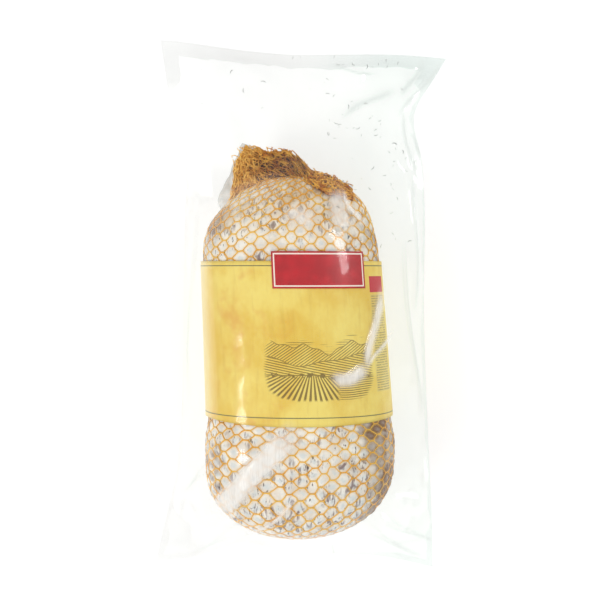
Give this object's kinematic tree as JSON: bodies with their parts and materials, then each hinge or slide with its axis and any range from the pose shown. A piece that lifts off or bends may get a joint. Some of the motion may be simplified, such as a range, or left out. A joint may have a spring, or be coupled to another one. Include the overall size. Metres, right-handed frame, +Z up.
{
  "type": "cured sausage",
  "caption": "Large loaf-shaped cured sausage in a mould-covered casing and orange net, with a plain yellow paper band, sealed in a clear flat pouch.",
  "frame": {"origin": "on the surface the pouch lies on, under the middle of the pouch", "axes": "+Z up through the front of the sausage, +Y along it from its rounded foot to its netted, gathered crown, +X across it"},
  "size_m": [0.2096, 0.3796, 0.0903],
  "materials": {
    "casing": "dry white mould over casing",
    "net": "elastic yarn net",
    "clip": "pressed wire",
    "band": "smooth paper",
    "film": "clear film"
  },
  "bodies": {
    "root": {"sausage": "casing", "net": "net", "crown_clip": "clip", "foot_clip": "clip", "paper_band": "band", "pouch_front_film": "film", "pouch_back_film": "film"}
  },
  "joints": []
}
